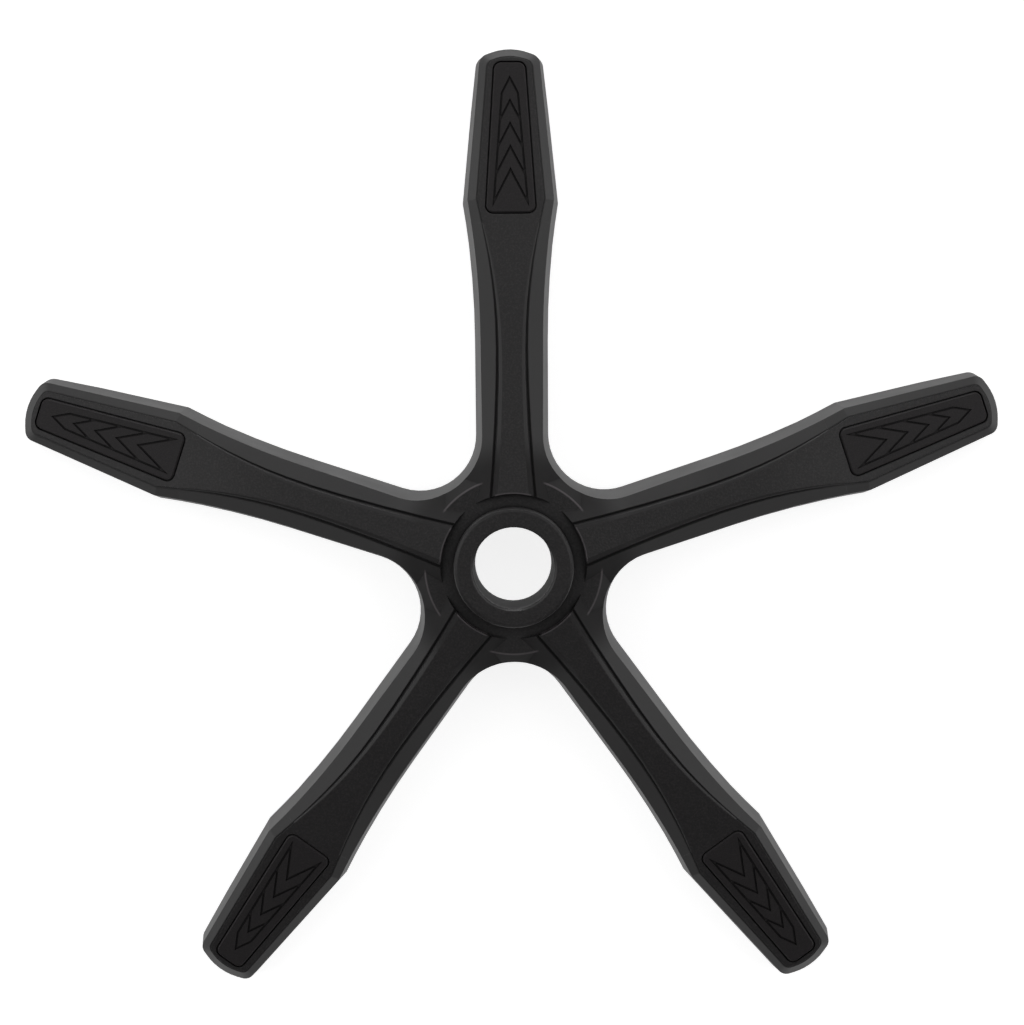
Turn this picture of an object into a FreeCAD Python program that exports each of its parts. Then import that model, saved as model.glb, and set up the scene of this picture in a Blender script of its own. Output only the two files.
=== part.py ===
"""Five star base of an office chair: one ribbed nylon moulding, and five foot pads set into its arms."""

import FreeCAD, Part
import math
import os
import re
import Sketcher

# Lengths are in millimetres and angles in degrees. Heights are measured from the floor, and reaches from the
# hub axis along an arm.
SIZES = {
    # the drafted side walls of an arm, at floor level
    "arm_count": 5,
    "wall_draft": 5.3,
    "arm_width": 49.5,
    "crotch_reach": 65.9,
    "flare_start": 140,
    "knee_reach": 227,
    "knee_width": 62.6,
    "tip_reach": 324.8,
    "tip_width": 42.2,
    "tip_angle": 20,
    "tip_bow": 38,
    "tip_corner": 8,
    # the raised panel along the top of an arm, its groove and the shoulders outside it
    "panel_start": 45,
    "panel_height": 75.5,
    "arm_slope": 5.7,
    "panel_root": 23.6,
    "panel_waist": 15.6,
    "waist_reach": 132,
    "step_root": 3.6,
    "step_foot": 0.7,
    "groove_root": 2.6,
    "groove_foot": 1,
    "shoulder_slope": 33,
    # the sloping foot at the end of an arm, with its flat plateau and the bevel round it
    "bend_start": 150,
    "foot_start": 212,
    "foot_slope": 13.5,
    "plateau_start": 34.8,
    "plateau_knee": 41.4,
    "plateau_tip": 27,
    "plateau_margin": 8,
    "plateau_bow": 25,
    "plateau_corner": 5,
    "foot_bevel": 34,
    # the hub: a ring round the column socket, on a round plate with a bevelled edge
    "ring_radius": 36.8,
    "ring_height": 86,
    "ring_edge": 2.2,
    "plate_radius": 54.5,
    "plate_height": 68,
    "plate_bevel": 7,
    "hub_bottom": 36,
    "socket_radius": 24,
    "socket_land": 10,
    "socket_taper": 1.43,
    "socket_chamfer": 1.4,
    # the hollow underside
    "wall": 4,
    "skin": 4,
    "rib": 3,
    "rib_recess": 3,
    "cross_rib_start": 92,
    "cross_rib_pitch": 47,
    "cross_rib_count": 4,
    "hub_wall": 9,
    "rim_height": 20.5,
    "rim_start": 48,
    "rim_bend": 200,
    "rim_knee": 14.8,
    "rim_end": 285,
    "foot_rim": 0.5,
    # the caster sockets
    "caster_inset": 27.8,
    "caster_boss": 11,
    "caster_socket": 5.5,
    "caster_depth": 22.5,
    # the foot pads and the recesses that hold them
    "pad_start": 6.5,
    "pad_margin": 3.5,
    "pad_width": 31,
    "pad_tip": 19,
    "pad_corner": 4.5,
    "pad_edge": 0.8,
    "pad_proud": 0.5,
    "pad_gap": 0.9,
    "recess_depth": 3,
    # the chevrons cut into a pad
    "chevron_groove": 1.3,
    "chevron_depth": 0.8,
    "chevron_first": 8.8,
    "chevron_pitch": 15,
    "chevron_angle": 63.5,
    "chevron_narrow": 11.4,
    "chevron_wide": 22.8,
    "chevron_count": 5,
}

STATIONS = (0, 0.2, 0.4, 0.55, 0.7, 0.85, 1)  # cross sections of an arm, as shares from hub to foot
BELOW = "-20"  # a height under the whole part
ABOVE = "110"  # a height over the whole part
FAR = "130"  # a sideways distance outside any one arm
EDGE_DROP = "0.3"  # how far the edge of the panel slopes down, as a share of its step
EDGE_RUN = "0.6"  # how far the edge of the panel slopes sideways, as a share of its step
ROUND_SHARE = "0.293"  # how far in the middle of a quarter round lies, as a share of its radius
TINY = 0.001  # a length too short to matter
GROOVE_SHARE = "0.25"  # the part of the panel's step that the shoulder climbs back out of the groove
PLATEAU_END = "((tip_reach - foot_start)/cos(foot_slope) - plateau_margin)"  # along the foot's slope
PAD_END = f"({PLATEAU_END} - pad_margin)"  # along the foot's slope
CASTER_REACH = "(tip_reach - caster_inset)"

doc = FreeCAD.newDocument("five_star_base")


def make_sheet():
    """The spreadsheet of driving dimensions, one named cell each."""
    sheet = doc.addObject("Spreadsheet::Sheet", "Size")
    for row, (name, value) in enumerate(SIZES.items(), start=1):
        sheet.set(f"A{row}", name)
        sheet.set(f"B{row}", str(value))
        sheet.setAlias(f"B{row}", name)
    doc.recompute()
    return sheet


def bound(formula):
    """The formula with each size's name read from the sheet."""
    return re.sub(r"[a-z]\w*", lambda word: f"Size.{word[0]}" if word[0] in SIZES else word[0], formula)


sheet = make_sheet()


def value_of(formula):
    """What a formula of sizes comes to."""
    return float(sheet.evalExpression(bound(formula).replace("Size.", "")))


def bind(thing, **formulas):
    """Bind properties of an object to formulas of sizes; a double underscore stands for a dot."""
    for path, formula in formulas.items():
        thing.setExpression(path.replace("__", "."), bound(formula))


def make_body(name):
    """A new, empty solid."""
    body = doc.addObject("PartDesign::Body", name)
    body.Label = name
    return body


def plane_of(body, role):
    """One of a body's own planes or axes."""
    return next(feature for feature in body.Origin.OriginFeatures if feature.Role == role)


def sketch_on(body, role, name, height="0"):
    """A sketch on one of a body's planes, raised from it by a formula."""
    sketch = body.newObject("Sketcher::SketchObject", name)
    sketch.AttachmentSupport = [(plane_of(body, role), "")]
    sketch.MapMode = "FlatFace"
    bind(sketch, AttachmentOffset__Base__z=height)
    return sketch


def sketch_on_foot(body, name, depth="0"):
    """A sketch parallel to the foot's plateau and depth below it, with y down the slope from its start."""
    sketch = sketch_on(body, "XY_Plane", name)
    slope = FreeCAD.Rotation(FreeCAD.Vector(-1, 0, 0), value_of("foot_slope"))
    sketch.AttachmentOffset = FreeCAD.Placement(FreeCAD.Vector(), slope)
    bind(
        sketch,
        AttachmentOffset__Rotation__Angle="foot_slope",
        AttachmentOffset__Base__y=f"foot_start - ({depth})*sin(foot_slope)",
        AttachmentOffset__Base__z=f"{top_at('foot_start')} - ({depth})*cos(foot_slope)",
    )
    return sketch


def arc_between(start, end, radius):
    """The short arc from start to end, which turns left where its radius is positive."""
    chord = end - start
    to_left = FreeCAD.Vector(-chord.y, chord.x, 0).normalize()
    away = math.sqrt(radius**2 - chord.Length**2 / 4) * math.copysign(1, radius)
    centre = (start + end) / 2 + to_left * away
    first, last = (start, end) if radius > 0 else (end, start)
    angles = [math.atan2(point.y - centre.y, point.x - centre.x) for point in (first, last)]
    return Part.ArcOfCircle(Part.Circle(centre, FreeCAD.Vector(0, 0, 1), abs(radius)), *angles)


def corner_cut(points, number, radius):
    """Where a corner's rounding leaves one side and joins the next, and which way it turns."""
    corner = points[number]
    back = (points[number - 1] - corner).normalize()
    ahead = (points[(number + 1) % len(points)] - corner).normalize()
    length = radius / math.tan(back.getAngle(ahead) / 2)
    turn = math.copysign(1, ahead.cross(back).z)
    return corner + back * length, corner + ahead * length, turn


def dimension(sketch, constraint, formula):
    """Add a constraint whose value is bound to a formula."""
    sketch.setExpression(f"Constraints[{sketch.addConstraint(constraint)}]", bound(formula))


def trace(sketch, corners, arcs={}, roundings={}):
    """A closed outline through corners, which are pairs of formulas. arcs gives the radius of each side that
    is an arc, by the number of the corner it leaves, negative where it turns right. roundings gives the radius
    of each corner between two straight sides that is rounded."""
    points = [FreeCAD.Vector(value_of(x), value_of(y), 0) for x, y in corners]
    cuts = {number: corner_cut(points, number, value_of(radius)) for number, radius in roundings.items()}
    sides = []
    for number, point in enumerate(points):
        after = (number + 1) % len(points)
        start = cuts[number][1] if number in cuts else point
        end = cuts[after][0] if after in cuts else points[after]
        radius = value_of(arcs.get(number, "0"))
        line = arc_between(start, end, radius) if radius else Part.LineSegment(start, end)
        side = sketch.addGeometry(line)
        first, last = (2, 1) if radius < 0 else (1, 2)
        sides.append((side, first, last))
        if radius:
            dimension(sketch, Sketcher.Constraint("Radius", side, abs(radius)), f"abs({arcs[number]})")
    for number, (point, formulas) in enumerate(zip(points, corners)):
        before, _, its_last = sides[number - 1]
        side, first, _ = sides[number]
        if number in cuts:
            mark, place = sketch.addGeometry(Part.Point(point), True), 1
            leave, join, turn = cuts[number]
            radius = value_of(roundings[number])
            bend = sketch.addGeometry(arc_between(leave, join, turn * radius))
            bend_first, bend_last = (1, 2) if turn > 0 else (2, 1)
            sketch.addConstraint(Sketcher.Constraint("PointOnObject", mark, place, before))
            sketch.addConstraint(Sketcher.Constraint("PointOnObject", mark, place, side))
            sketch.addConstraint(Sketcher.Constraint("Tangent", before, its_last, bend, bend_first))
            sketch.addConstraint(Sketcher.Constraint("Tangent", bend, bend_last, side, first))
            dimension(sketch, Sketcher.Constraint("Radius", bend, radius), roundings[number])
        else:
            mark, place = side, first
            sketch.addConstraint(Sketcher.Constraint("Coincident", before, its_last, side, first))
        for kind, value, formula in zip(("DistanceX", "DistanceY"), point, formulas):
            dimension(sketch, Sketcher.Constraint(kind, -1, 1, mark, place, value), formula)


def circle(sketch, x, y, radius):
    """A circle about a point, all three given by formulas."""
    centre = FreeCAD.Vector(value_of(x), value_of(y), 0)
    ring = sketch.addGeometry(Part.Circle(centre, FreeCAD.Vector(0, 0, 1), value_of(radius)))
    dimension(sketch, Sketcher.Constraint("DistanceX", -1, 1, ring, 3, centre.x), x)
    dimension(sketch, Sketcher.Constraint("DistanceY", -1, 1, ring, 3, centre.y), y)
    dimension(sketch, Sketcher.Constraint("Radius", ring, value_of(radius)), radius)


def mirrored(half, start=None, end=None):
    """A closed outline from its right half and the corners on its middle line, where it has them."""
    left = [(f"-({x})", y) for x, y in reversed(half)]
    return ([("0", start)] if start else []) + half + ([("0", end)] if end else []) + left


def loft(body, name, sketches, ruled):
    """A solid through cross sections."""
    feature = body.newObject("PartDesign::AdditiveLoft", name)
    feature.Profile = sketches[0]
    feature.Sections = sketches[1:]
    feature.Ruled = ruled
    doc.recompute()
    return feature


def swept(body, kind, name, sketch, length, both_ways=False, reverse=False):
    """A Pad or Pocket of a sketch, to a length given by a formula."""
    feature = body.newObject(f"PartDesign::{kind}", name)
    feature.Profile = sketch
    feature.Midplane = both_ways
    feature.Reversed = reverse
    bind(feature, Length=length)
    doc.recompute()
    return feature


def turned(body, kind, name, sketch):
    """A Revolution or Groove of a sketch about the hub axis."""
    feature = body.newObject(f"PartDesign::{kind}", name)
    feature.Profile = sketch
    feature.ReferenceAxis = (sketch, ["V_Axis"])
    feature.Angle = 360
    doc.recompute()
    return feature


def combined(body, kind, name, tool):
    """The body cut by, or shared with, another body."""
    feature = body.newObject("PartDesign::Boolean", name)
    feature.setObjects([tool])
    feature.Type = kind
    doc.recompute()
    return feature


def chamfered(body, name, wanted, size):
    """Chamfer the edges of the body so far that are wanted."""
    base = body.Tip
    feature = body.newObject("PartDesign::Chamfer", name)
    edges = enumerate(base.Shape.Edges, start=1)
    feature.Base = (base, [f"Edge{number}" for number, edge in edges if wanted(edge)])
    bind(feature, Size=size)
    doc.recompute()
    return feature


def top_at(y):
    """Height of the panel at a reach: a straight fall, with a bend that runs into the foot's slope."""
    turn = "(tan(foot_slope) - tan(arm_slope))/(2*(foot_start - bend_start))"
    return f"(panel_height - tan(arm_slope)*({y} - panel_start) - max(0; {y} - bend_start)^2*{turn})"


def rim_at(y):
    """Height of the lower rim at a reach: it falls gently as far as its bend, then steeply to the foot."""
    along_arm = f"(rim_height - rim_knee)*max(0; rim_bend - ({y}))/(rim_bend - rim_start)"
    along_foot = f"(rim_knee - foot_rim)*min(1; max(0; rim_end - ({y}))/(rim_end - rim_bend))"
    return f"(foot_rim + {along_foot} + {along_arm})"


def panel_at(y):
    """Half the panel's width at a reach: least at the waist, wider at the hub and at the foot."""
    to_hub = f"(panel_root - panel_waist)/2 * (max(0; waist_reach - ({y}))/(waist_reach - panel_start))^2"
    to_foot = f"(plateau_start - panel_waist)/2 * (max(0; {y} - waist_reach)/(foot_start - waist_reach))^2"
    return f"(panel_waist/2 + {to_hub} + {to_foot})"


def step_at(y):
    """Height of the panel's step at a reach, which fades towards the foot."""
    return f"(step_root - (step_root - step_foot)*(({y} - panel_start)/(foot_start - panel_start))^2)"


def groove_at(y):
    """Width of the groove beside the panel at a reach, which fades towards the foot."""
    return f"(groove_root - (groove_root - groove_foot)*(({y} - panel_start)/(foot_start - panel_start))^2)"


def shoulder_at(y):
    """Slope of the shoulders at a reach, which runs into the foot's bevel."""
    share = f"(max(0; {y} - waist_reach)/(foot_start - waist_reach))^2"
    return f"tan(shoulder_slope + (foot_bevel - shoulder_slope)*{share})"


def station(share):
    """Reach of an arm's cross section, from under the hub ring to the foot."""
    first = "(panel_start - ring_edge)*cos(180/arm_count)"
    return f"({first} + {share}*(foot_start - {first}))"


def draw_walls(sketch, inset, rib):
    """One arm's share of the base in plan, inset all round, half a rib from the lines to its neighbours."""
    side = f"(arm_width/2 - {inset})"
    knee = f"(knee_width/2 - {inset})"
    tip = f"(tip_width/2 - {inset})"
    shrink = f"({tip}/(tip_width/2))"
    apex = f"(tip_reach - {inset} + tip_bow*{shrink}*(1/cos(tip_angle) - 1))"
    turn = "180/arm_count"
    radius = f"((crotch_reach*sin({turn}) - arm_width/2)/(1 - sin({turn})))"
    centre = f"(crotch_reach + {radius})"
    along = f"({centre} - sqrt(({radius} + {inset})^2 - ({rib}/2)^2))"
    sweep = f"((knee_reach - flare_start)^2 + ({knee} - {side})^2)/(2*({knee} - {side}))"
    half = [
        (f"{along}*sin({turn}) - {rib}/2*cos({turn})", f"{along}*cos({turn}) + {rib}/2*sin({turn})"),
        (side, f"{centre}*cos({turn})"),
        (side, "flare_start"),
        (knee, "knee_reach"),
        (tip, f"{apex} - {tip}*tan(tip_angle)"),
    ]
    crotch = f"-({radius} + {inset})"
    arcs = {1: crotch, 3: f"-({sweep})", 8: f"-({sweep})", 10: crotch}
    corner = f"tip_corner*{shrink}"
    roundings = {5: corner, 6: f"tip_bow*{shrink}", 7: corner}
    trace(sketch, mirrored(half, f"{rib}/2/sin({turn})", apex), arcs, roundings)


def add_walls(body, inset, rib):
    """The drafted block that an arm is cut from, or with an inset the hollow inside its walls."""
    sections = []
    for name, height in (("plan_low", BELOW), ("plan_high", ABOVE)):
        section = sketch_on(body, "XY_Plane", name, height)
        draw_walls(section, f"({inset} + {height}*tan(wall_draft))", rib)
        sections.append(section)
    loft(body, "walls", sections, True)


def draw_plateau(sketch, grow):
    """The foot's plateau, grown all round, in the plateau's own plane."""
    tip = f"(plateau_tip/2 + {grow})"
    swell = f"({tip}/(plateau_tip/2))"
    apex = f"({PLATEAU_END} + {grow} + plateau_bow*{swell}*(1/cos(tip_angle) - 1))"
    half = [
        (f"plateau_start/2 + {grow}", "0"),
        (f"plateau_knee/2 + {grow}", "(knee_reach - foot_start)/cos(foot_slope)"),
        (tip, f"{apex} - {tip}*tan(tip_angle)"),
    ]
    corner = f"plateau_corner*{swell}"
    trace(sketch, mirrored(half, end=apex), {}, {2: corner, 3: f"plateau_bow*{swell}", 4: corner})


def add_foot(body, name, depth, grow, deeper, grow_deeper):
    """A layer of the foot between two plateau outlines."""
    sections = []
    for layer, (level, growth) in enumerate(((depth, grow), (deeper, grow_deeper))):
        section = sketch_on_foot(body, f"{name}_{layer}", level)
        draw_plateau(section, growth)
        sections.append(section)
    return loft(body, name, sections, True)


def draw_pad(sketch, grow):
    """A foot pad in plan, grown all round, in the plateau's own plane."""
    half = [
        (f"pad_width/2 + {grow}", f"pad_start - {grow}"),
        (f"pad_tip/2 + {grow}", f"{PAD_END} + {grow}"),
    ]
    corner = f"pad_corner + {grow}"
    trace(sketch, mirrored(half), {}, {number: corner for number in range(4)})


def make_crown():
    """All that lies under the top surface of one arm and the hub, without regard to the side walls."""
    body = make_body("crown")
    sections = []
    for number, share in enumerate(STATIONS):
        y = station(share)
        panel, groove, top, step = panel_at(y), groove_at(y), top_at(y), step_at(y)
        section = sketch_on(body, "XZ_Plane", f"section_{number}", f"-{y}")
        half = [
            (f"{panel} - {EDGE_RUN}*{step}", top),
            (panel, f"{top} - {EDGE_DROP}*{step}"),
            (f"{panel} + {groove}/2", f"{top} - {step}"),
            (f"{panel} + {groove}", f"{top} - (1 - {GROOVE_SHARE})*{step}"),
            (f"{panel} + {groove} + arm_width", f"{top} - {step} - arm_width*{shoulder_at(y)}"),
            (f"{panel} + {groove} + arm_width", BELOW),
        ]
        trace(section, mirrored(half))
        sections.append(section)
    loft(body, "arm_top", sections, False)
    below_floor = "panel_height"
    spread = f"groove_foot + {below_floor}/tan(foot_bevel)"
    add_foot(body, "bevel", "step_foot", "groove_foot", below_floor, spread)
    add_foot(body, "plateau", "0", "0", "recess_depth", "0")
    clearing = sketch_on(body, "XZ_Plane", "clearing_section")
    floor = [("0", "plate_height"), ("panel_start", "plate_height")]
    trace(clearing, floor + [("panel_start", ABOVE), ("0", ABOVE)])
    turned(body, "Groove", "ring_clearing", clearing)
    hub = sketch_on(body, "XZ_Plane", "hub_section")
    edge = "plate_radius + plate_bevel"
    corners = [
        ("0", BELOW),
        (edge, BELOW),
        (edge, "plate_height - plate_bevel"),
        ("plate_radius", "plate_height"),
        ("ring_radius", "plate_height"),
        ("ring_radius", "ring_height - ring_edge"),
        (f"ring_radius - {ROUND_SHARE}*ring_edge", f"ring_height - {ROUND_SHARE}*ring_edge"),
        ("ring_radius - ring_edge", "ring_height"),
        ("0", "ring_height"),
    ]
    trace(hub, corners)
    turned(body, "Revolution", "ring_and_plate", hub)
    return body


def make_hollow():
    """The hollow under one arm: inside its walls and under its skin, less the ribs and bosses."""
    under_skin = make_body("under_skin")
    sections = []
    for number, share in enumerate(STATIONS):
        y = station(share)
        edge = f"{panel_at(y)} + {groove_at(y)}"
        top = f"{top_at(y)} - {step_at(y)} - skin"
        section = sketch_on(under_skin, "XZ_Plane", f"skin_section_{number}", f"-{y}")
        half = [
            (edge, top),
            (f"{edge} + arm_width", f"{top} - arm_width*{shoulder_at(y)}"),
            (f"{edge} + arm_width", BELOW),
        ]
        trace(section, mirrored(half))
        sections.append(section)
    loft(under_skin, "under_arm", sections, False)
    under_foot = sketch_on_foot(under_skin, "under_foot_plan", "recess_depth + skin")
    trace(under_foot, mirrored([(FAR, "0"), (FAR, f"{PLATEAU_END} + tip_width")]))
    swept(under_skin, "Pad", "under_foot", under_foot, ABOVE, reverse=True)

    hollow = make_body("hollow")
    add_walls(hollow, "wall", "rib")
    combined(hollow, "Common", "under_the_skin", under_skin)
    plate = sketch_on(hollow, "XZ_Plane", "plate_section")
    under_plate = [("0", "plate_height - skin"), ("plate_radius", "plate_height - skin")]
    trace(plate, under_plate + [("plate_radius", ABOVE), ("0", ABOVE)])
    turned(hollow, "Groove", "under_plate", plate)
    spine = sketch_on(hollow, "YZ_Plane", "spine_side")
    low = [(y, f"{rim_at(y)} + rib_recess") for y in ("0", "rim_bend", "rim_end", "tip_reach")]
    trace(spine, low + [("tip_reach", ABOVE), ("0", ABOVE)])
    swept(hollow, "Pocket", "spine_rib", spine, "rib", both_ways=True)
    cross = sketch_on(hollow, "YZ_Plane", "cross_rib_sides")
    for number in range(round(value_of("cross_rib_count"))):
        near = f"(cross_rib_start + {number}*cross_rib_pitch - rib/2)"
        far = f"({near} + rib)"
        low = [(y, f"{rim_at(y)} + rib_recess") for y in (near, far)]
        trace(cross, low + [(far, ABOVE), (near, ABOVE)])
    swept(hollow, "Pocket", "cross_ribs", cross, f"2*{FAR}", both_ways=True)
    bosses = sketch_on(hollow, "XY_Plane", "boss_plan")
    circle(bosses, "0", CASTER_REACH, "caster_boss")
    circle(bosses, "0", "0", "socket_radius + hub_wall")
    swept(hollow, "Pocket", "bosses", bosses, f"4*{ABOVE}", both_ways=True)
    return hollow


def make_star_base():
    """The moulding: one arm and its share of the hub, repeated round the axis, with a socket through it."""
    body = make_body("star_base")
    add_walls(body, "0", "0")
    combined(body, "Common", "under_crown", make_crown())
    rim = sketch_on(body, "YZ_Plane", "rim_side")
    low = [(y, rim_at(y)) for y in ("tip_reach + tip_width", "rim_end", "rim_bend", "-rim_start")]
    trace(rim, low + [("-rim_start", BELOW), ("tip_reach + tip_width", BELOW)])
    swept(body, "Pocket", "rim", rim, f"2*{FAR}", both_ways=True)
    combined(body, "Cut", "hollow_arm", make_hollow())
    boss = sketch_on(body, "XY_Plane", "caster_boss_plan")
    circle(boss, "0", CASTER_REACH, "caster_boss")
    swept(body, "Pad", "caster_boss_end", boss, "foot_rim + rib")
    socket = sketch_on(body, "XY_Plane", "caster_socket_plan")
    circle(socket, "0", CASTER_REACH, "caster_socket")
    swept(body, "Pocket", "caster_socket_hole", socket, "caster_depth", reverse=True)
    recess = sketch_on_foot(body, "recess_plan")
    draw_pad(recess, "pad_gap")
    swept(body, "Pocket", "recess", recess, "recess_depth")

    lower = sketch_on(body, "XZ_Plane", "hub_lower_section")
    width = "socket_radius + hub_wall + rib"
    trace(lower, [("0", BELOW), (width, BELOW), (width, "hub_bottom"), ("0", "hub_bottom")])
    turned(body, "Groove", "hub_lower_end", lower)
    bore = sketch_on(body, "XZ_Plane", "socket_section")
    land = "hub_bottom + socket_land"
    mouth = "ring_height - socket_chamfer"
    wide = f"(socket_radius + ({mouth} - ({land}))*tan(socket_taper))"
    corners = [
        ("0", BELOW),
        ("socket_radius", BELOW),
        ("socket_radius", land),
        (wide, mouth),
        (f"{wide} + socket_chamfer", "ring_height"),
        (f"{wide} + socket_chamfer", ABOVE),
        ("0", ABOVE),
    ]
    trace(bore, corners)
    turned(body, "Groove", "column_socket", bore)

    arms = body.newObject("PartDesign::PolarPattern", "arms")
    arms.TransformMode = "Whole shape"
    arms.Axis = (plane_of(body, "Z_Axis"), [""])
    arms.Angle = 360
    bind(arms, Occurrences="arm_count")
    body.Tip = arms
    doc.recompute()
    return body


def draw_chevrons(sketch):
    """The arrow of nested chevrons on a pad: one outline, with an island between one groove and the next."""
    lean = "tan(chevron_angle)"
    tall = "(chevron_groove/cos(chevron_angle))"
    first = f"({PAD_END} - chevron_first)"
    barb_y = f"({first} - (chevron_count - 1)*chevron_pitch - {tall} - {lean}*chevron_wide/2)"
    break_y = f"({first} - {lean}*chevron_narrow/2)"
    taper = f"((chevron_wide - chevron_narrow)/2/({break_y} - {barb_y}))"
    half = [("chevron_narrow/2", break_y), ("chevron_wide/2", barb_y)]
    trace(sketch, mirrored(half, first, f"{barb_y} + {lean}*chevron_wide/2"))
    for number in range(round(value_of("chevron_count")) - 1):
        half = []
        ends = (f"({first} - {number}*chevron_pitch - {tall})", f"({first} - {number + 1}*chevron_pitch)")
        for end in ends:
            x = f"((chevron_wide/2 - chevron_groove - {taper}*({end} - {barb_y}))/(1 - {taper}*{lean}))"
            half.append((x, f"{end} - {lean}*{x}"))
        trace(sketch, mirrored(half, *ends))


def above_plateau(corner):
    """Height of a corner over the plane of the foot's plateau."""
    start = FreeCAD.Vector(0, value_of("foot_start"), value_of(top_at("foot_start")))
    upright = FreeCAD.Vector(0, value_of("sin(foot_slope)"), value_of("cos(foot_slope)"))
    return (corner.Point - start).dot(upright)


def make_pad(number):
    """One foot pad, turned to its arm: arms are counted clockwise from above."""
    body = make_body(f"foot_pad_{number + 1}")
    body.Placement.Rotation = FreeCAD.Rotation(FreeCAD.Vector(0, 0, -1), value_of(f"{number}*360/arm_count"))
    if number:
        bind(body, Placement__Rotation__Angle=f"{number}*360/arm_count")
    plan = sketch_on_foot(body, "pad_plan", "recess_depth")
    draw_pad(plan, "0")
    swept(body, "Pad", "pad", plan, "recess_depth + pad_proud")
    top = value_of("pad_proud") - TINY
    chamfered(body, "edge", lambda edge: min(map(above_plateau, edge.Vertexes)) > top, "pad_edge")
    chevrons = sketch_on_foot(body, "chevron_plan", "-pad_proud")
    draw_chevrons(chevrons)
    swept(body, "Pocket", "chevrons", chevrons, "chevron_depth")
    return body


def export(bodies):
    """Check every object, then write each body to a file named for it."""
    for thing in doc.Objects:
        if "Invalid" in thing.State or "Error" in thing.State:
            raise RuntimeError(f"{thing.Name} failed: {thing.State}")
    os.makedirs("parts", exist_ok=True)
    for body in bodies:
        if body.Shape.isNull() or not body.Shape.isValid() or len(body.Shape.Solids) != 1:
            raise RuntimeError(f"{body.Label} is not one valid solid")
        body.Shape.exportStep(f"parts/{body.Label}.step")
        print(body.Label, round(body.Shape.Volume), "cubic millimetres,", len(body.Shape.Faces), "faces")


bodies = [make_star_base()] + [make_pad(number) for number in range(round(value_of("arm_count")))]
for body in bodies:
    bind(body, Placement__Base__z="-hub_bottom")
doc.recompute()
export(bodies)
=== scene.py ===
# %% [markdown]
# # A star base for an office chair, seen from above
# The base is the part of a swivel chair that stands on the floor. It is moulded in one piece from nylon
# with short glass fibres in it, which makes it stiff enough to carry a person on walls only a few
# millimetres thick. A pad with chevron grooves lies in each foot, where a shoe rests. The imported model
# has the exact shapes, so this lesson gives them their materials, and sets up a small studio.

import math

import bpy
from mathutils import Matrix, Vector


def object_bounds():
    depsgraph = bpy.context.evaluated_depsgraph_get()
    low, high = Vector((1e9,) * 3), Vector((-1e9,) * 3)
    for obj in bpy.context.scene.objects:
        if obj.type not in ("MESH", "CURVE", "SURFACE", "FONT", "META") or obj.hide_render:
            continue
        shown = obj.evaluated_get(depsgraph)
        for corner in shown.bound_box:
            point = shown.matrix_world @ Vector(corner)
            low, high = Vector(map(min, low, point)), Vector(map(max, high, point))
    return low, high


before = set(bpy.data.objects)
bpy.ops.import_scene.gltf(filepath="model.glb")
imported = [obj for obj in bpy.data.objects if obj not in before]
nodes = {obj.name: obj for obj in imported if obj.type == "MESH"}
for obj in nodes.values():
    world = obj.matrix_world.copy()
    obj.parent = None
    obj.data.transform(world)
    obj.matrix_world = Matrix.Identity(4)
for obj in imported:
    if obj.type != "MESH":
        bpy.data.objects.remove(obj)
cad_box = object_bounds()
scene = bpy.context.scene
base = nodes["star_base"]
pads = [nodes[name] for name in sorted(nodes) if name.startswith("foot_pad")]
print("pieces:", sorted(nodes))

# %% [markdown]
# Colours are written as they look on a screen, in sRGB hex. A renderer adds light in linear numbers, so
# each hex pair is turned into a linear value first. The scene is in metres, and MM is one millimetre of
# it. A noise texture takes a scale in repeats per metre, so a grain of 0.5 mm has a scale of 2000. One
# function adds every node of this lesson and gives back one of its outputs, so that a material reads in
# order, from what it measures to its shader. Most masks come from a Map Range node, which turns the values
# between two limits into a fade from 0 to 1. SMOOTH eases the fade at both ends, and FALLING turns it
# round.

# %% Helpers for materials
MM = 0.001
SMOOTH = {"interpolation_type": "SMOOTHSTEP"}
FALLING = {"To Min": 1.0, "To Max": 0.0}


def linear(hex_colour):
    """An sRGB hex colour as linear red, green, blue and alpha."""
    values = [int(hex_colour[i : i + 2], 16) / 255 for i in (1, 3, 5)]
    return [v / 12.92 if v <= 0.04045 else ((v + 0.055) / 1.055) ** 2.4 for v in values] + [1.0]


def per_metre(millimetres):
    """The texture scale of a feature of a real size."""
    return 1 / (millimetres * MM)


def new_material(name):
    """An empty node material and its node tree."""
    material = bpy.data.materials.new(name)
    material.use_nodes = True
    material.node_tree.nodes.clear()
    return material, material.node_tree


def add_node(tree, kind, inputs=None, output=0, **settings):
    """Add a node and give back one of its outputs. A socket among the inputs is linked, a value is set."""
    node = tree.nodes.new("ShaderNode" + kind)
    for name, value in settings.items():
        setattr(node, name, value)
    for name, value in (inputs or {}).items():
        if isinstance(value, bpy.types.NodeSocket):
            tree.links.new(value, node.inputs[name])
        else:
            node.inputs[name].default_value = value
    return node.outputs[output] if node.outputs else None


def paint(pieces, material):
    """Put one material on some pieces."""
    for piece in pieces:
        piece.data.materials.clear()
        piece.data.materials.append(material)
    print(material.name, "on", len(pieces), "of the pieces")


print("a mid grey of #808080 is", round(linear("#808080")[0], 3), "in linear light")

# %% [markdown]
# The base is injection-moulded from nylon with glass fibres, dyed black. The steel mould's flat faces are
# etched with a fine grain, so that marks from fibres and shoes don't show, and its slopes are polished by
# hand. To the eye that gives dull, faintly speckled panels between smoother shoulders. One could paint a
# mask for that, but a mask from how far a face leans fits every arm by itself. The upward part of a face's
# normal tells that: it is 1 on a level face and 0 on an upright wall. The real grain is about 0.3 mm, too
# fine to show from this far, so it is drawn at 1.2 mm.

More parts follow.
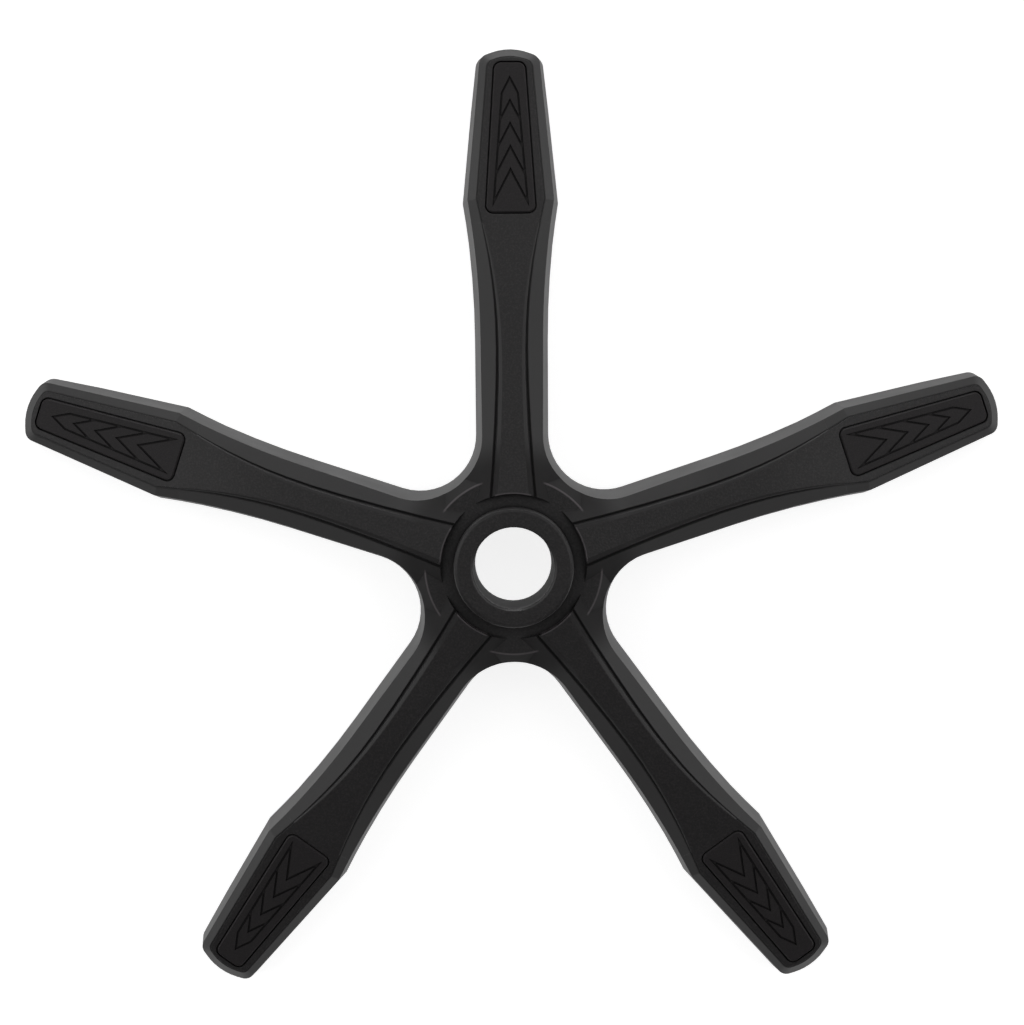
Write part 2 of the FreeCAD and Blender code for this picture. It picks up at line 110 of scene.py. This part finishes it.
# %% Nylon: flat faces and grain
SLOPE_UPWARD, FLAT_UPWARD = 0.88, 0.96
GRAIN_MM = 1.2
ETCHING = {"Detail": 3.0, "Roughness": 0.6}

nylon, tree = new_material("black glass-filled nylon")
place = add_node(tree, "TexCoord", output="Object")
normal = add_node(tree, "NewGeometry", output="True Normal")
upward = add_node(tree, "SeparateXYZ", {0: normal}, output="Z")
level = {"Value": upward, "From Min": SLOPE_UPWARD, "From Max": FLAT_UPWARD}
flat = add_node(tree, "MapRange", level, **SMOOTH)
etched = {"Vector": place, "Scale": per_metre(GRAIN_MM), **ETCHING}
grain = add_node(tree, "TexNoise", etched, output="Fac")
print("flat faces are grained every", GRAIN_MM, "mm")

# %% [markdown]
# Moulded nylon has a soft sheen, with a roughness of about 0.4. The etched faces are a little duller than
# the polished slopes. The upright walls are duller again, because the mould drags along them as it opens.
# A broad noise makes some places smoother than others by a few hundredths, as the flow of the melt does.

# %% Nylon: roughness
SLOPE_ROUGHNESS, GRAIN_ROUGHNESS = 0.38, 0.46
DRAG, DRAG_UPWARD, CLEAR_UPWARD = 0.18, 0.2, 0.6
FLOW_MM, FLOW_DETAIL, FLOW_CHANGE = 45, 2.0, 0.03
FLOW_RANGE = {"From Min": 0.3, "From Max": 0.7}

faces = {"Value": flat, "To Min": SLOPE_ROUGHNESS, "To Max": GRAIN_ROUGHNESS}
roughness = add_node(tree, "MapRange", faces)
walls = {"Value": upward, "From Min": DRAG_UPWARD, "From Max": CLEAR_UPWARD, "To Min": DRAG, "To Max": 0.0}
drag = add_node(tree, "MapRange", walls)
broad = {"Vector": place, "Scale": per_metre(FLOW_MM), "Detail": FLOW_DETAIL}
melt = add_node(tree, "TexNoise", broad, output="Fac")
change = {"Value": melt, **FLOW_RANGE, "To Min": -FLOW_CHANGE, "To Max": FLOW_CHANGE}
flow = add_node(tree, "MapRange", change)
for more in (drag, flow):
    roughness = add_node(tree, "Math", {0: roughness, 1: more}, operation="ADD")
print("roughness", SLOPE_ROUGHNESS, "on slopes,", GRAIN_ROUGHNESS, "on grained faces")

# %% [markdown]
# A polisher's tool doesn't reach into the inner corners between two arms, nor deep into the column's
# socket, so the plastic stays dull there. Both lie at known distances from the hub's axis, so the mask is
# made from that distance, which is the length of the position with its height taken out. In the corners it
# takes only the slopes, and in the socket it is half as strong.

# %% Nylon: dull corners round the hub
CORNER_FROM, CORNER_TO = 39 * MM, 85 * MM
FADES_IN, FADES_OUT = 3 * MM, 25 * MM
STEEP_UPWARD, SLOPING_UPWARD = 0.3, 0.5
SOCKET_RADIUS, LIP_INSIDE, LIP_OUTSIDE = 25 * MM, 0.4 * MM, 0.1 * MM
DULLER, SOCKET_SHARE = 0.4, 0.5

in_plan = add_node(tree, "VectorMath", {0: place, 1: (1, 1, 0)}, operation="MULTIPLY")
reach = add_node(tree, "VectorMath", {0: in_plan}, output="Value", operation="LENGTH")
inner = {"Value": reach, "From Min": CORNER_FROM, "From Max": CORNER_FROM + FADES_IN}
outer = {"Value": reach, "From Min": CORNER_TO - FADES_OUT, "From Max": CORNER_TO, **FALLING}
slope = {"Value": upward, "From Min": STEEP_UPWARD, "From Max": SLOPING_UPWARD}
not_flat = {"Value": flat, **FALLING}
corner = add_node(tree, "MapRange", inner, **SMOOTH)
for limit in (outer, slope, not_flat):
    mask = add_node(tree, "MapRange", limit, **SMOOTH)
    corner = add_node(tree, "Math", {0: corner, 1: mask}, operation="MULTIPLY")
lip = {"Value": reach, "From Min": SOCKET_RADIUS - LIP_INSIDE, "From Max": SOCKET_RADIUS + LIP_OUTSIDE}
socket = add_node(tree, "MapRange", {**lip, "To Min": SOCKET_SHARE, "To Max": 0.0}, **SMOOTH)
dull = add_node(tree, "Math", {0: corner, 1: socket}, operation="MAXIMUM")
roughness = add_node(tree, "Math", {0: dull, 1: DULLER, 2: roughness}, operation="MULTIPLY_ADD")
print("dull corners from", round(CORNER_FROM / MM), "to", round(CORNER_TO / MM), "mm from the hub's axis")

# %% [markdown]
# Little light gets into a narrow groove, so its shade is painted into the colour, and the groove is made
# duller as well. The Ambient Occlusion node tells how much of the sky a point sees within a short reach,
# so it finds the grooves by itself, where a painted mask would have to be drawn along each of them. The
# pads' chevrons get the same painted shade, so the settings have names that are used again.

# %% Nylon: shade in grooves
GROOVE_REACH = 3 * MM
NEARBY = {"samples": 4, "only_local": True}
CLOSED_IN = {"From Min": 0.5, "From Max": 0.9, **FALLING}

sky = add_node(tree, "AmbientOcclusion", {"Distance": GROOVE_REACH}, output="AO", **NEARBY)
shade = add_node(tree, "MapRange", {"Value": sky, **CLOSED_IN}, **SMOOTH)
roughness = add_node(tree, "Math", {0: shade, 1: DULLER, 2: roughness}, operation="MULTIPLY_ADD")
print("grooves are shaded to", round(GROOVE_REACH / MM), "mm from their walls")

# %% [markdown]
# Two kinds of edges at the hub catch a thin line of light, which is painted into the colour as a
# highlight:
# the ends of the panels, and the edge of the hub plate between two arms. Each is an arc at one distance
# from the axis. The cosine of five times the angle round the axis is 1 along each arm and -1 half-way
# between arms, so it cuts the arcs off where they should end.

# %% Nylon: painted highlights on edges at the hub
ARMS = 5
PANEL_END, PLATE_EDGE = 45.2 * MM, 54.7 * MM
PANEL_COSINES, PLATE_COSINES = (0.25, 0.4), (-0.1, -0.35)
LINE_CORE, LINE_RIM = 0.2 * MM, 0.9 * MM

x_way = add_node(tree, "SeparateXYZ", {0: place}, output="X")
y_way = add_node(tree, "SeparateXYZ", {0: place}, output="Y")
turn = add_node(tree, "Math", {0: x_way, 1: y_way}, operation="ARCTAN2")
turn = add_node(tree, "Math", {0: turn, 1: ARMS}, operation="MULTIPLY")
star = add_node(tree, "Math", {0: turn}, operation="COSINE")
arcs = []
for radius, (starts, full) in ((PANEL_END, PANEL_COSINES), (PLATE_EDGE, PLATE_COSINES)):
    away = add_node(tree, "Math", {0: reach, 1: radius}, operation="SUBTRACT")
    away = add_node(tree, "Math", {0: away}, operation="ABSOLUTE")
    width = {"Value": away, "From Min": LINE_CORE, "From Max": LINE_RIM, **FALLING}
    line = add_node(tree, "MapRange", width, **SMOOTH)
    length = add_node(tree, "MapRange", {"Value": star, "From Min": starts, "From Max": full}, **SMOOTH)
    arcs.append(add_node(tree, "Math", {0: line, 1: length}, operation="MULTIPLY"))
# A painted highlight: both arcs are made a lighter grey in the colour.
highlight_painted = add_node(tree, "Math", {0: arcs[0], 1: arcs[1]}, operation="ADD")
print("rubbed edges at", round(PANEL_END / MM, 1), "and", round(PLATE_EDGE / MM, 1), "mm")

# %% [markdown]
# Now the parts come together. The colour is a black that is never quite black: specks of grain catch some
# light, the grooves get a painted shade, and the two arcs at the hub get a painted highlight. The Bevel
# node rounds the shading of edges by about half a millimetre, since no moulded edge is perfectly sharp.
# The grain is in full relief on flat faces and nearly gone on the polished slopes. Nylon's IOR is 1.53,
# and its mirror is set lower than that gives, because the grain traps part of the light.

# %% Nylon: colour and shader
BLACK, SPECK, PAINTED_GROOVE_SHADE, PAINTED_EDGE_HIGHLIGHT = "#0f0d0e", "#242122", "#040404", "#423e40"
SPECKS = {"From Min": 0.45, "From Max": 0.75}
EDGE, EDGE_SAMPLES = 0.6 * MM, 4
GRAIN_DEPTH, SLOPE_RELIEF, FULL_RELIEF = 0.2 * MM, 0.15, 1.0
NYLON_IOR, NYLON_MIRROR = 1.53, 0.365

speck = add_node(tree, "MapRange", {"Value": grain, **SPECKS})
speck = add_node(tree, "Math", {0: speck, 1: flat}, operation="MULTIPLY")
colour = linear(BLACK)
# The grain's specks are its own tone; the groove shade and the highlights at the hub are painted light.
for factor, tone in ((speck, SPECK), (shade, PAINTED_GROOVE_SHADE), (highlight_painted, PAINTED_EDGE_HIGHLIGHT)):
    layers = {"Factor": factor, "A": colour, "B": linear(tone)}
    colour = add_node(tree, "Mix", layers, output="Result", data_type="RGBA")
edge = add_node(tree, "Bevel", {"Radius": EDGE}, samples=EDGE_SAMPLES)
relief = add_node(tree, "MapRange", {"Value": flat, "To Min": SLOPE_RELIEF, "To Max": FULL_RELIEF})
raised = {"Height": grain, "Strength": relief, "Distance": GRAIN_DEPTH, "Normal": edge}
bump = add_node(tree, "Bump", raised)
surface = {"Base Color": colour, "Roughness": roughness, "Normal": bump}
surface.update({"IOR": NYLON_IOR, "Specular IOR Level": NYLON_MIRROR})
add_node(tree, "OutputMaterial", {"Surface": add_node(tree, "BsdfPrincipled", surface)})
paint([base], nylon)

# %% [markdown]
# The pads are moulded from matte polypropylene, a softer plastic that keeps a shoe from slipping and hides
# scuffs. To the eye it is a flat, even black with hardly any sheen, on which only the chevron grooves
# stand out. So it mirrors less than the nylon, its grain is finer, and shade is painted into its grooves.
# The real grain is about 0.2 mm, too fine to show from this far, so it is drawn at 0.8 mm.

# %% The pads' polypropylene
PAD_BLACK, PAD_SPECK, PAD_PAINTED_GROOVE_SHADE = "#1f1d1e", "#292627", "#020202"
PAD_GRAIN_MM, PAD_GRAIN_DEPTH, PAD_GROOVE_REACH = 0.8, 0.08 * MM, 2 * MM
PAD_ROUGHNESS, PAD_IOR, PAD_MIRROR = 0.5, 1.49, 0.186

polypropylene, tree = new_material("black matte polypropylene")
place = add_node(tree, "TexCoord", output="Object")
etched = {"Vector": place, "Scale": per_metre(PAD_GRAIN_MM), **ETCHING}
grain = add_node(tree, "TexNoise", etched, output="Fac")
speck = add_node(tree, "MapRange", {"Value": grain, **SPECKS})
sky = add_node(tree, "AmbientOcclusion", {"Distance": PAD_GROOVE_REACH}, output="AO", **NEARBY)
shade = add_node(tree, "MapRange", {"Value": sky, **CLOSED_IN}, **SMOOTH)
colour = linear(PAD_BLACK)
# The shade in the chevron grooves is painted into the colour, as a darker black.
for factor, tone in ((speck, PAD_SPECK), (shade, PAD_PAINTED_GROOVE_SHADE)):
    layers = {"Factor": factor, "A": colour, "B": linear(tone)}
    colour = add_node(tree, "Mix", layers, output="Result", data_type="RGBA")
roughness = add_node(tree, "Math", {0: shade, 1: DULLER, 2: PAD_ROUGHNESS}, operation="MULTIPLY_ADD")
raised = {"Height": grain, "Strength": FULL_RELIEF, "Distance": PAD_GRAIN_DEPTH}
bump = add_node(tree, "Bump", raised)
surface = {"Base Color": colour, "Roughness": roughness, "Normal": bump}
surface.update({"IOR": PAD_IOR, "Specular IOR Level": PAD_MIRROR})
add_node(tree, "OutputMaterial", {"Surface": add_node(tree, "BsdfPrincipled", surface)})
paint(pads, polypropylene)

# %% [markdown]
# The base stands on a sheet of white paper. Paper is plain and diffuse, so it carries the soft shadow of
# the base. Its own colour is kept to a pale grey, and for rays from the camera, and for mirrored and
# transmitted rays, it also glows, which brings it up to the white of the picture. More light on the paper
# would do that too, but it would make the black base grey as well.

# %% The paper floor
FLOOR_SIZE, FLOOR_GAP, FLOOR_GLOW = 12, 0.2 * MM, 0.8
PAPER, WHITE = "#c4c4c4", "#ffffff"

lowest = min(point[2] for point in cad_box)
bpy.ops.mesh.primitive_plane_add(size=FLOOR_SIZE, location=(0, 0, lowest - FLOOR_GAP))
floor = bpy.context.object
floor.name = "paper_floor"
paper, tree = new_material("white paper")
seen = add_node(tree, "LightPath", output="Is Camera Ray")
for kind_of_ray in ("Is Glossy Ray", "Is Transmission Ray"):
    ray = add_node(tree, "LightPath", output=kind_of_ray)
    seen = add_node(tree, "Math", {0: seen, 1: ray}, operation="MAXIMUM")
lift = add_node(tree, "Math", {0: seen, 1: FLOOR_GLOW}, operation="MULTIPLY")
sheet = add_node(tree, "BsdfDiffuse", {"Color": linear(PAPER)})
glow = add_node(tree, "Emission", {"Color": linear(WHITE), "Strength": lift})
add_node(tree, "OutputMaterial", {"Surface": add_node(tree, "AddShader", {0: sheet, 1: glow})})
paint([floor], paper)
print("floor at", round(lowest / MM, 1), "mm")

# %% [markdown]
# A black object shows hardly anything but reflections, so it is lit by what each face mirrors. The sloping
# feet mirror a softbox at each side of the camera and one above the back, and the far foot's tip mirrors a
# low strip light behind it. A softbox is an area lamp: its power is worked out from how bright its face
# should look, so that its size can change without changing its look. Places and sizes are in metres.

# %% Softboxes


def softbox(name, stand, width, height, radiance):
    """A rectangular lamp that faces the hub, as bright to look at as a surface of that radiance."""
    lamp = bpy.data.lights.new(name, "AREA")
    lamp.shape = "RECTANGLE"
    lamp.size = width
    lamp.size_y = height
    lamp.energy = radiance * math.pi * width * height
    holder = bpy.data.objects.new(name, lamp)
    scene.collection.objects.link(holder)
    holder.location = stand
    holder.rotation_euler = (-Vector(stand)).to_track_quat("-Z", "Y").to_euler()
    print(name, "of", round(lamp.energy, 2), "W")


softbox("left softbox", stand=(-1.35, 0.15, 1.55), width=1.1, height=1.5, radiance=0.95)
softbox("right softbox", stand=(1.35, 0.15, 1.55), width=1.1, height=1.5, radiance=0.75)
softbox("back softbox", stand=(0.0, 0.55, 2.0), width=1.2, height=0.5, radiance=0.5)
softbox("low strip light", stand=(0.0, 2.4, 0.1), width=1.0, height=0.25, radiance=14.0)

# %% [markdown]
# The world is the studio's room. Its walls are bright near the floor, which the bevels of the feet and the
# shoulders of the arms mirror. The ceiling is bright at the back and dark at the front, where the camera
# and its stand are, so the two near arms are darker than the others. One could use a photographed sky, but
# a few smooth ramps over the direction's height and depth say it as well. Each ramp has a name, the way it
# runs, where it starts and ends, and how bright it is at its start and its end.

# %% The studio room
scene.world = bpy.data.worlds.new("studio room")
scene.world.use_nodes = True
room = scene.world.node_tree
direction = add_node(room, "TexCoord", output="Generated")
depth = add_node(room, "SeparateXYZ", {0: direction}, output="Y")
height = add_node(room, "SeparateXYZ", {0: direction}, output="Z")
light = {}
for name, way, start, end, first, last in (
    ("low walls", height, 0.16, 0.32, 1.3, 0.0),
    ("towards the back", depth, -0.9, 0.2, 0.6, 1.8),
    ("less at the far back", depth, 0.55, 0.9, 1.0, 0.5),
    ("ceiling", depth, -0.4, 0.25, 0.03, 0.62),
    ("front wall", depth, -0.85, -0.6, 0.55, 0.0),
):
    ramp = {"Value": way, "From Min": start, "From Max": end, "To Min": first, "To Max": last}
    light[name] = add_node(room, "MapRange", ramp, **SMOOTH)
glow = light["low walls"]
for name in ("towards the back", "less at the far back"):
    glow = add_node(room, "Math", {0: glow, 1: light[name]}, operation="MULTIPLY")
for name in ("ceiling", "front wall"):
    glow = add_node(room, "Math", {0: glow, 1: light[name]}, operation="ADD")
room.nodes["Background"].inputs["Color"].default_value = linear(WHITE)
room.links.new(glow, room.nodes["Background"].inputs["Strength"])
scene.view_settings.view_transform = "Standard"
print("room of", len(light), "ramps")

# %% [markdown]
# The camera looks almost straight down. Its place was worked out from the picture: the arms are equal on
# the real part, so their different lengths in the picture tell where the lens was and how it was tilted.
# That gives the lens as a distance in pixels, which is turned to millimetres for a sensor of 36 mm.

# %% Camera
LENS_PX, LONG_SIDE_PX, SENSOR_MM = 2332.8, 1025, 36
CAMERA_PLACE = (-0.00946, 0.10924, 1.46809)
CAMERA_TILT_DEGREES = (-3.03, -0.37, -0.41)

camera = bpy.data.objects.new("camera", bpy.data.cameras.new("camera"))
scene.collection.objects.link(camera)
camera.data.sensor_width = SENSOR_MM
camera.data.lens = LENS_PX / LONG_SIDE_PX * SENSOR_MM
camera.location = CAMERA_PLACE
camera.rotation_euler = [math.radians(tilt) for tilt in CAMERA_TILT_DEGREES]
scene.camera = camera
print("lens", round(camera.data.lens, 1), "mm, height", round(camera.location.z, 3), "m")
